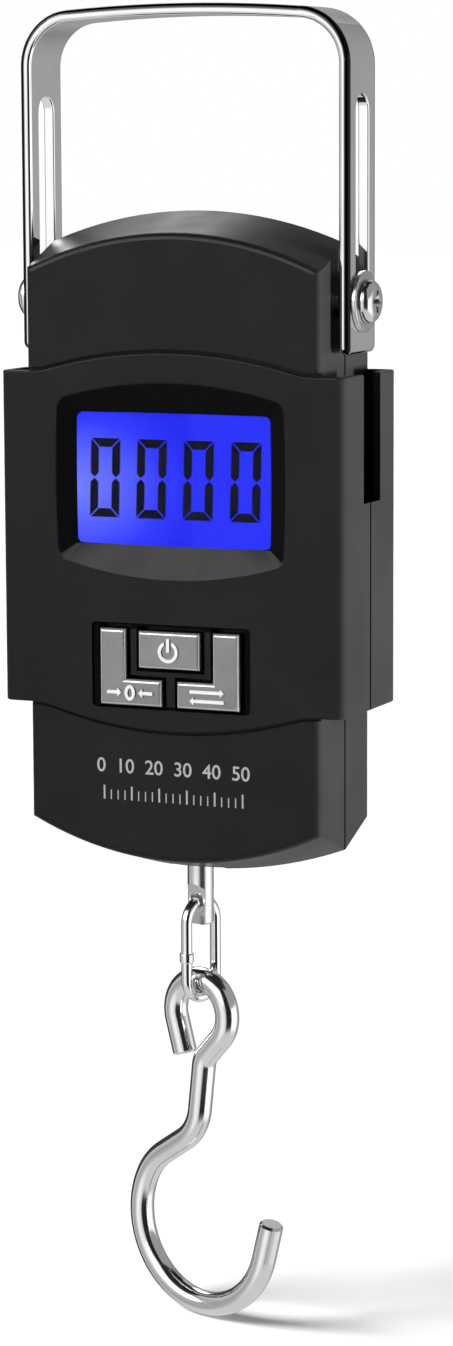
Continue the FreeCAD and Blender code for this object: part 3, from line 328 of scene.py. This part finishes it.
def painted(name, colour, gloss=(0.3, 0.42), metallic=0.0, grain=2600.0, depth=0.000006, shine=0.5):
    """One colour, slightly uneven in tone and gloss, with a fine grain."""
    material, tree, shader = new_material(name)
    shader.inputs["Specular IOR Level"].default_value = shine
    place = object_coordinates(tree)
    dark = tuple(c * 0.86 for c in colour)
    cloud = noise(tree, place, 260.0, detail=4.0)
    tree.links.new(two_tone(tree, cloud, dark, colour), shader.inputs["Base Color"])
    tree.links.new(spread(tree, noise(tree, place, 420.0, detail=3.0), *gloss), shader.inputs["Roughness"])
    shader.inputs["Metallic"].default_value = metallic
    add_bump(tree, shader, noise(tree, place, grain), depth, 0.7)
    return material


def key_silver(name):
    """Silver lacquer with painted highlights on the raised signs and rims, and painted shade on the sides
    below the case's front.
    """
    material, tree, shader = new_material(name)
    place = object_coordinates(tree)
    cloud = noise(tree, place, 90.0, detail=3.0)
    face_y = SIGN_FRONT_Y + KEY_SIGN_RISE
    raised = inside(tree, y=(-1.0, SIGN_FRONT_Y + KEY_SIGN_SKIN))
    rim = inside(tree, y=(face_y + KEY_RIM_SKIN, face_y + KEY_RIM))
    sides = inside(tree, y=(CASE_FRONT_Y + KEY_SIDE_SKIN, 0.0))
    # Painted highlights: the rims and the raised signs are lighter.
    colour = tinted(tree, rim, two_tone(tree, cloud, *KEY_LACQUER), KEY_RIM_HIGHLIGHT)
    colour = tinted(tree, raised, colour, KEY_SIGN_HIGHLIGHT)
    # Painted shade: the sides below the case's front are near-black.
    tree.links.new(tinted(tree, sides, colour, KEY_SIDE_SHADE), shader.inputs["Base Color"])
    rough = spread(tree, noise(tree, place, 200.0, detail=3.0), 0.27, 0.33)
    tree.links.new(rough, shader.inputs["Roughness"])
    shader.inputs["Metallic"].default_value = 0.8
    add_bump(tree, shader, noise(tree, place, 3800.0), 0.000003, 0.6)
    return material


def window_glass(name):
    """Clear acrylic window with a hard gloss."""
    material, tree, shader = new_material(name)
    place = object_coordinates(tree)
    rough = spread(tree, noise(tree, place, 180.0, detail=4.0), 0.02, 0.07)
    tree.links.new(rough, shader.inputs["Roughness"])
    shader.inputs["Base Color"].default_value = (0.96, 0.97, 1.0, 1.0)
    shader.inputs["Transmission Weight"].default_value = 1.0
    shader.inputs["IOR"].default_value = 1.12
    add_bump(tree, shader, noise(tree, place, 60.0), 0.000004, 0.3)
    return material


def lit_display(name):
    """Blue backlit display: a paler glow by the lamp at its left, deep blue elsewhere, and a painted glare to
    the right of a slanting line.
    """
    material, tree, shader = new_material(name)
    half_x = (LENS_HIGH.x - LENS_LOW.x) / 2
    half_z = (LENS_HIGH.z - LENS_LOW.z) / 2
    glow_origin = (LENS_CENTRE.x - 1.02 * half_x, LENS_CENTRE.y, LENS_CENTRE.z - 0.15 * half_z)
    place = object_coordinates(tree, (0.8 / half_x, 0.0, 0.7 / half_z), glow_origin)
    glow = add_node(tree, "ShaderNodeTexGradient", gradient_type="SPHERICAL")
    tree.links.new(place, glow.inputs["Vector"])
    mottle = noise(tree, object_coordinates(tree), 150.0, detail=2.0)
    # Painted glare: the window is a little lighter to the right of a slanting line.
    sheen = components(tree, object_coordinates(tree, (1.0, 1.0, -0.28), LENS_CENTRE))
    painted_glare = spread(tree, sheen["X"], 0.0, 0.13, 0.0030, 0.0035)
    level = mathematics(tree, "MULTIPLY_ADD", mottle, 0.05, glow.outputs["Fac"])
    level = mathematics(tree, "ADD", level, painted_glare)
    ramp = add_node(tree, "ShaderNodeValToRGB")
    ramp.color_ramp.elements.new(0.5)
    for stop, (position, colour) in zip(ramp.color_ramp.elements, DISPLAY_STOPS):
        stop.position = position
        stop.color = (*colour, 1.0)
    tree.links.new(level, ramp.inputs["Fac"])
    tree.links.new(ramp.outputs["Color"], shader.inputs["Emission Color"])
    shader.inputs["Emission Strength"].default_value = 1.0
    shader.inputs["Base Color"].default_value = (0.002, 0.002, 0.01, 1.0)
    shader.inputs["Specular IOR Level"].default_value = 0.02
    shader.inputs["Roughness"].default_value = 0.4
    return material


def circuit(name):
    """Green solder mask with fine copper tracks showing through."""
    material, tree, shader = new_material(name)
    place = object_coordinates(tree)
    tracks = add_node(tree, "ShaderNodeTexBrick")
    tracks.inputs["Scale"].default_value = 260.0
    tracks.inputs["Mortar Size"].default_value = 0.012
    tracks.inputs["Color1"].default_value = (0.012, 0.10, 0.035, 1.0)
    tracks.inputs["Color2"].default_value = (0.016, 0.12, 0.045, 1.0)
    tracks.inputs["Mortar"].default_value = (0.05, 0.22, 0.08, 1.0)
    tree.links.new(place, tracks.inputs["Vector"])
    tree.links.new(tracks.outputs["Color"], shader.inputs["Base Color"])
    tree.links.new(spread(tree, noise(tree, place, 500.0), 0.25, 0.4), shader.inputs["Roughness"])
    add_bump(tree, shader, tracks.outputs["Fac"], 0.00002, 0.5)
    return material


def battery_wrap(name):
    """Printed sleeve: a copper-coloured third at the plus end over a black body."""
    material, tree, shader = new_material(name)
    low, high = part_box("battery_left")
    length = high.z - low.z
    place = object_coordinates(tree, (0.0, 0.0, 1.0 / length), (0.0, 0.0, low.z))
    height = components(tree, place)["Z"]
    colour = two_tone(tree, height, (0.012, 0.012, 0.014), (0.45, 0.16, 0.05), 0.69, 0.70)
    tree.links.new(colour, shader.inputs["Base Color"])
    rough = spread(tree, noise(tree, object_coordinates(tree), 300.0), 0.2, 0.32)
    tree.links.new(rough, shader.inputs["Roughness"])
    shader.inputs["Metallic"].default_value = 0.55
    return material


def pale_floor(name):
    """Plain pale matt floor."""
    material, tree, shader = new_material(name)
    place = object_coordinates(tree)
    tree.links.new(two_tone(tree, noise(tree, place, 3.0), (0.88, 0.88, 0.88), (0.9, 0.9, 0.9)),
                   shader.inputs["Base Color"])
    tree.links.new(spread(tree, noise(tree, place, 9.0), 0.75, 0.85), shader.inputs["Roughness"])
    shader.inputs["Specular IOR Level"].default_value = 0.1
    return material


def paint_nodes():
    """Every CAD node gets its finish."""
    case = moulded_plastic("case_plastic", BLACK, BLACK_WORN)
    door = moulded_plastic("door_plastic", DOOR_BLACK, DOOR_BLACK_WORN, (0.40, 0.48))
    bright = steel("stem_bright", (0.72, 0.72, 0.73), (0.16, 0.26), stretch=(60.0, 60.0, 3000.0))
    even = (900.0, 900.0, 900.0)
    finishes = {
        "handle": handle_steel("handle_polish"),
        "slot_bush_left": steel("bush_turned", (0.66, 0.66, 0.67), (0.18, 0.3), stretch=(3000.0, 60.0, 60.0)),
        "handle_screws": steel("screw_plated", (0.74, 0.74, 0.75), (0.12, 0.24), stretch=even),
        "front_shell": case,
        "back_shell": case,
        "battery_door": door,
        "case_screws": steel("screw_black", (0.05, 0.05, 0.05), (0.3, 0.4), stretch=even),
        "display_lens": window_glass("display_window"),
        "lcd_panel": lit_display("display_blue"),
        "backlight": painted("light_guide", (0.25, 0.3, 0.9)),
        "backlight_lamps": painted("lamp_white", (0.85, 0.86, 0.9)),
        "contact_strip": painted("strip_rubber", (0.7, 0.42, 0.4), (0.6, 0.7)),
        "circuit_board": circuit("board_green"),
        "board_screws": steel("screw_small", (0.7, 0.7, 0.7), (0.2, 0.3), stretch=even),
        "board_chip": painted("chip_resin", (0.008, 0.008, 0.009), (0.1, 0.2)),
        "board_components": painted("component_tan", (0.25, 0.15, 0.07)),
        "key_power": key_silver("key_lacquer"),
        "plunger_power": painted("plunger_black", (0.02, 0.02, 0.02)),
        "key_switches": painted("switch_black", (0.03, 0.03, 0.03)),
        "load_cell": steel("cell_milled", (0.78, 0.78, 0.79), (0.25, 0.38), stretch=(2500.0, 60.0, 60.0)),
        "strain_gauges": painted("gauge_foil", (0.55, 0.32, 0.1), (0.2, 0.3), metallic=0.5),
        "cell_wires": painted("wire_white", (0.8, 0.8, 0.78)),
        "battery_left": battery_wrap("battery_sleeve"),
        "battery_contacts": steel("contact_tin", (0.7, 0.7, 0.68), (0.25, 0.35)),
        "battery_wires": painted("wire_red", (0.5, 0.02, 0.02)),
        "stem": bright,
        "stem_nut": bright,
        "stem_washer": bright,
        "link": steel("link_bright", (0.82, 0.82, 0.83), (0.07, 0.14), stretch=(900.0, 900.0, 60.0)),
        "hook": steel("hook_bright", (0.78, 0.78, 0.79), (0.1, 0.17), stretch=(700.0, 700.0, 700.0),
                      depth=0.0000015),
    }
    same = {
        "slot_bush_right": "slot_bush_left", "key_tare": "key_power", "key_unit": "key_power",
        "plunger_tare": "plunger_power", "plunger_unit": "plunger_power",
        "battery_right": "battery_left", "battery_springs": "battery_contacts",
    }
    for node, source in same.items():
        finishes[node] = finishes[source]
    for name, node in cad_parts.items():
        node.data.materials.clear()
        node.data.materials.append(finishes[name])


# ---- Flat printed and displayed shapes ------------------------------------------------------------
def plate(name, outlines, front_y, thickness, material, body):
    """Thin plates from closed (x, z) outlines in millimetres, facing -Y."""
    mesh = bpy.data.meshes.new(name)
    build = bmesh.new()
    for outline in outlines:
        front = [build.verts.new((x * MM, front_y, z * MM)) for x, z in outline]
        back = [build.verts.new((x * MM, front_y + thickness, z * MM)) for x, z in outline]
        build.faces.new(front)
        build.faces.new(back[::-1])
        for i, corner in enumerate(front):
            j = (i + 1) % len(front)
            build.faces.new((front[j], corner, back[i], back[j]))
    bmesh.ops.recalc_face_normals(build, faces=build.faces)
    build.to_mesh(mesh)
    build.free()
    piece = bpy.data.objects.new(name, mesh)
    bpy.context.scene.collection.objects.link(piece)
    mesh.materials.append(material)
    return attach(piece, body)


# The display's digits and the printed load range, in millimetres.
DIGIT_COUNT = 4
DIGIT_WIDTH = 5.95
DIGIT_HEIGHT = 14.6
DIGIT_PITCH = 9.4
DIGIT_SLANT = 0.03
SEGMENT = 1.62
SEGMENT_GAP = 0.16
SEGMENT_NOSE = 0.72


def zero_segments():
    """The six lit segments of a 0, about the digit's centre: mitred corners, thin gaps."""
    w, h, t, g = DIGIT_WIDTH / 2, DIGIT_HEIGHT / 2, SEGMENT, SEGMENT_GAP
    bar = [(-w + g, h), (w - g, h), (w - t - g, h - t), (-w + t + g, h - t)]
    side = [
        (-w, h - g), (-w + t, h - t - g), (-w + t, g + SEGMENT_NOSE), (-w + t - SEGMENT_NOSE, g),
        (-w + SEGMENT_NOSE, g), (-w, g + SEGMENT_NOSE),
    ]
    outlines = []
    for flips, shape in [([(1, 1), (1, -1)], bar), ([(1, 1), (-1, 1), (1, -1), (-1, -1)], side)]:
        for flip_x, flip_z in flips:
            outlines.append([(flip_x * x, flip_z * z) for x, z in shape])
    return outlines


def display_digits(material):
    """Four zeros, in the middle half of the gap between the window and the display glass."""
    centre = LENS_CENTRE / MM
    outlines = []
    for i in range(DIGIT_COUNT):
        shift = centre.x + (i - (DIGIT_COUNT - 1) / 2) * DIGIT_PITCH
        for shape in zero_segments():
            outlines.append([(shift + x + DIGIT_SLANT * z, centre.z + z) for x, z in shape])
    gap = LCD_FRONT_Y - LENS_HIGH.y
    plate("display_digits", outlines, LENS_HIGH.y + 0.25 * gap, 0.5 * gap, material, "case")


PRINT_TOP_Z = -137.4
PRINT_LOW_Z = -142.6
PRINT_HEIGHT = 2.7
TICK_COUNT = 21
TICK_PITCH = 1.4
TICK_DROP = 1.3                     # below the line through the marks' middle
LONG_TICK = (0.17, 1.3)             # half width, height above that line
SHORT_TICK = (0.11, 0.5)
TICKS_TO_A_LONG_ONE = 4

FIGURE_HEIGHT = 0.72                # of a numeral, as part of the font's size
# In metres: how thick the ink is, and how far it swells past the letter's outline.
PRINT_THICK = 0.00001
PRINT_SWELL = 0.00003
TICK_PROUD = 0.00002
TICK_THICK = 0.00003


def text_outlines(words, height, x, z):
    """A line of generic numerals as a mesh object, centred at x, z (mm), lying in the XZ plane."""
    curve = bpy.data.curves.new(words.replace(" ", "_"), "FONT")
    curve.body = words
    curve.size = height * MM / FIGURE_HEIGHT
    curve.align_x = "CENTER"
    curve.extrude = PRINT_THICK
    curve.offset = PRINT_SWELL
    text = bpy.data.objects.new("scratch_text", curve)
    bpy.context.scene.collection.objects.link(text)
    mesh = bpy.data.meshes.new_from_object(text.evaluated_get(bpy.context.evaluated_depsgraph_get()))
    bpy.data.objects.remove(text)
    mesh.transform(Matrix.Rotation(math.radians(90), 4, "X"))
    mesh.transform(Matrix.Translation(Vector((x * MM, 0, z * MM))))
    return mesh


def scale_print(material):
    """Printed load range: a row of numerals over a row of graduation marks."""
    mesh = text_outlines("0  10  20  30  40  50", PRINT_HEIGHT, 0.0, PRINT_TOP_Z - PRINT_HEIGHT / 2)
    mesh.transform(Matrix.Translation(Vector((0, NARROW_FRONT_Y - PRINT_THICK, 0))))
    numerals = bpy.data.objects.new("scale_numerals", mesh)
    bpy.context.scene.collection.objects.link(numerals)
    mesh.materials.clear()
    mesh.materials.append(material)
    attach(numerals, "case")
    ticks = []
    for i in range(TICK_COUNT):
        x = (i - (TICK_COUNT - 1) / 2) * TICK_PITCH
        half, rise = SHORT_TICK if i % TICKS_TO_A_LONG_ONE else LONG_TICK
        low, high = PRINT_LOW_Z - TICK_DROP, PRINT_LOW_Z + rise
        ticks.append([(x - half, low), (x + half, low), (x + half, high), (x - half, high)])
    plate("scale_ticks", ticks, NARROW_FRONT_Y - TICK_PROUD, TICK_THICK, material, "case")


# ---- Stage ---------------------------------------------------------------------------------------
FLOOR_HALF = 6.0
FLOOR_GAP = 0.0002


def floor():
    """A plain floor just under the hook; it takes the soft shadow, and gloss doesn't show it."""
    mesh = bpy.data.meshes.new("floor")
    corners = [(-FLOOR_HALF, -FLOOR_HALF, 0), (FLOOR_HALF, -FLOOR_HALF, 0),
               (FLOOR_HALF, FLOOR_HALF, 0), (-FLOOR_HALF, FLOOR_HALF, 0)]
    mesh.from_pydata(corners, [], [(0, 1, 2, 3)])
    plane = bpy.data.objects.new("floor", mesh)
    plane.location.z = FLOOR_Z - FLOOR_GAP
    bpy.context.scene.collection.objects.link(plane)
    mesh.materials.append(pale_floor("floor_pale"))
    plane.visible_glossy = False
    plane.visible_shadow = False


# The set around the object, as its gloss shows it: brightness along the horizon by azimuth in degrees
# (0 in front, 90 to the right), then panels: (azimuths, elevations, brightness, softness).
HORIZON = [
    (-180, 0.26), (-160, 0.36), (-148, 0.30), (-138, 0.05), (-98, 0.05), (-90, 0.75),
    (-66, 0.42), (-45, 0.66), (-28, 1.15), (-8, 1.10), (12, 0.75), (18, 0.02),
    (64, 0.02), (72, 1.60), (124, 1.30), (140, 0.46), (160, 0.36), (180, 0.26),
]
PANELS = [
    ((-400, 400), (-100, -45), 0.75, 18.0),
    ((-400, 400), (50, 100), 0.02, 8.0),
    ((-58, 0), (15, 32), 8.0, 6.0),
    ((60, 140), (14, 60), 0.40, 6.0),
    ((-152, -138), (35, 43), 5.5, 9.0),
    ((-190, -165), (24, 50), 0.55, 4.0),
]
# What matt surfaces get: even light from all round, then broad far lights, each with the direction it
# comes from, its strength and its width in degrees. The side light comes from just below the floor's
# plane, so it lights the case's side and leaves the floor alone.
AMBIENT = 0.22
LIGHTS = [
    ("top_light", (-1.05, -0.74, 1.0), 5.0, 32.0),
    ("front_light", (-0.25, -1.0, 0.14), 0.1, 40.0),
    ("side_light", (1.0, 0.12, -0.14), 32.0, 14.0),
]


def within(tree, value, limits, soft):
    """1 between two limits, falling smoothly to 0 over a soft edge outside them."""
    rise = smooth_step(tree, value, limits[0] - soft, limits[0])
    fall = smooth_step(tree, value, limits[1] + soft, limits[1])
    return mathematics(tree, "MULTIPLY", rise, fall)


def horizon(tree, azimuth):
    """Brightness by azimuth; ramp colours stop at 1, so the values are halved and then doubled."""
    ramp = add_node(tree, "ShaderNodeValToRGB")
    stops = ramp.color_ramp.elements
    while len(stops) < len(HORIZON):
        stops.new(0.5)
    for stop, (angle, grey) in zip(stops, HORIZON):
        stop.position = (angle + 180) / 360
        stop.color = (grey / 2, grey / 2, grey / 2, 1.0)
    tree.links.new(spread(tree, azimuth, 0.0, 1.0, -180.0, 180.0), ramp.inputs["Fac"])
    return mathematics(tree, "MULTIPLY", ramp.outputs["Color"], 2.0)


def studio():
    """White to the camera; gloss sees light walls, softboxes, and dark gaps to the right and overhead."""
    world = bpy.data.worlds.new("studio")
    bpy.context.scene.world = world
    world.use_nodes = True
    tree = world.node_tree
    direction = components(tree, add_node(tree, "ShaderNodeTexCoord").outputs["Generated"])
    forward = mathematics(tree, "MULTIPLY", direction["Y"], -1.0)
    azimuth = mathematics(tree, "DEGREES", mathematics(tree, "ARCTAN2", direction["X"], forward))
    elevation = mathematics(tree, "DEGREES", mathematics(tree, "ARCSINE", direction["Z"]))
    walls = horizon(tree, azimuth)
    for azimuths, elevations, brightness, soft in PANELS:
        across = within(tree, azimuth, azimuths, soft)
        upward = within(tree, elevation, elevations, soft)
        panel = mathematics(tree, "MULTIPLY", across, upward)
        walls = blend(tree, panel, walls, brightness)
    path = add_node(tree, "ShaderNodeLightPath")
    seen = blend(tree, path.outputs["Is Glossy Ray"], AMBIENT, walls)
    seen = blend(tree, path.outputs["Is Camera Ray"], seen, 1.0)
    tree.links.new(seen, tree.nodes["Background"].inputs["Strength"])
    tree.nodes["Background"].inputs["Color"].default_value = (1.0, 1.0, 1.0, 1.0)


def soft_light(name, source, strength, softness):
    """Broad far light; gloss sees the set instead of it."""
    light = bpy.data.lights.new(name, "SUN")
    light.energy = strength
    light.angle = math.radians(softness)
    lamp = bpy.data.objects.new(name, light)
    lamp.rotation_mode = "QUATERNION"
    lamp.rotation_quaternion = Vector(source).to_track_quat("Z", "Y")
    lamp.visible_glossy = False
    bpy.context.scene.collection.objects.link(lamp)


def camera():
    """Looks at the aim from the given azimuth and elevation, turned by the roll about its own axis."""
    a, e, roll = (math.radians(v) for v in (CAMERA_AZIMUTH, CAMERA_ELEVATION, CAMERA_ROLL))
    back = Vector((math.sin(a) * math.cos(e), -math.cos(a) * math.cos(e), math.sin(e)))
    right = Vector((math.cos(a), math.sin(a), 0.0))
    up = back.cross(right)
    turned_right = right * math.cos(roll) + up * math.sin(roll)
    turned_up = back.cross(turned_right)
    data = bpy.data.cameras.new("camera")
    data.lens = LENS
    data.sensor_width = SENSOR
    data.clip_start = 0.01
    data.clip_end = 50.0
    view = bpy.data.objects.new("camera", data)
    view.matrix_world = Matrix((
        (turned_right.x, turned_up.x, back.x, 0),
        (turned_right.y, turned_up.y, back.y, 0),
        (turned_right.z, turned_up.z, back.z, 0),
        (0, 0, 0, 1),
    ))
    view.location = CAMERA_AIM + back * CAMERA_DISTANCE
    bpy.context.scene.collection.objects.link(view)
    bpy.context.scene.camera = view


def main():
    paint_nodes()
    display_digits(painted("digit_black", (0.001, 0.001, 0.006), (0.5, 0.6), shine=0.02))
    scale_print(painted("print_grey", (0.32, 0.32, 0.32), (0.45, 0.55)))
    floor()
    studio()
    for light in LIGHTS:
        soft_light(*light)
    camera()
    bpy.context.scene.view_settings.view_transform = "Standard"


main()
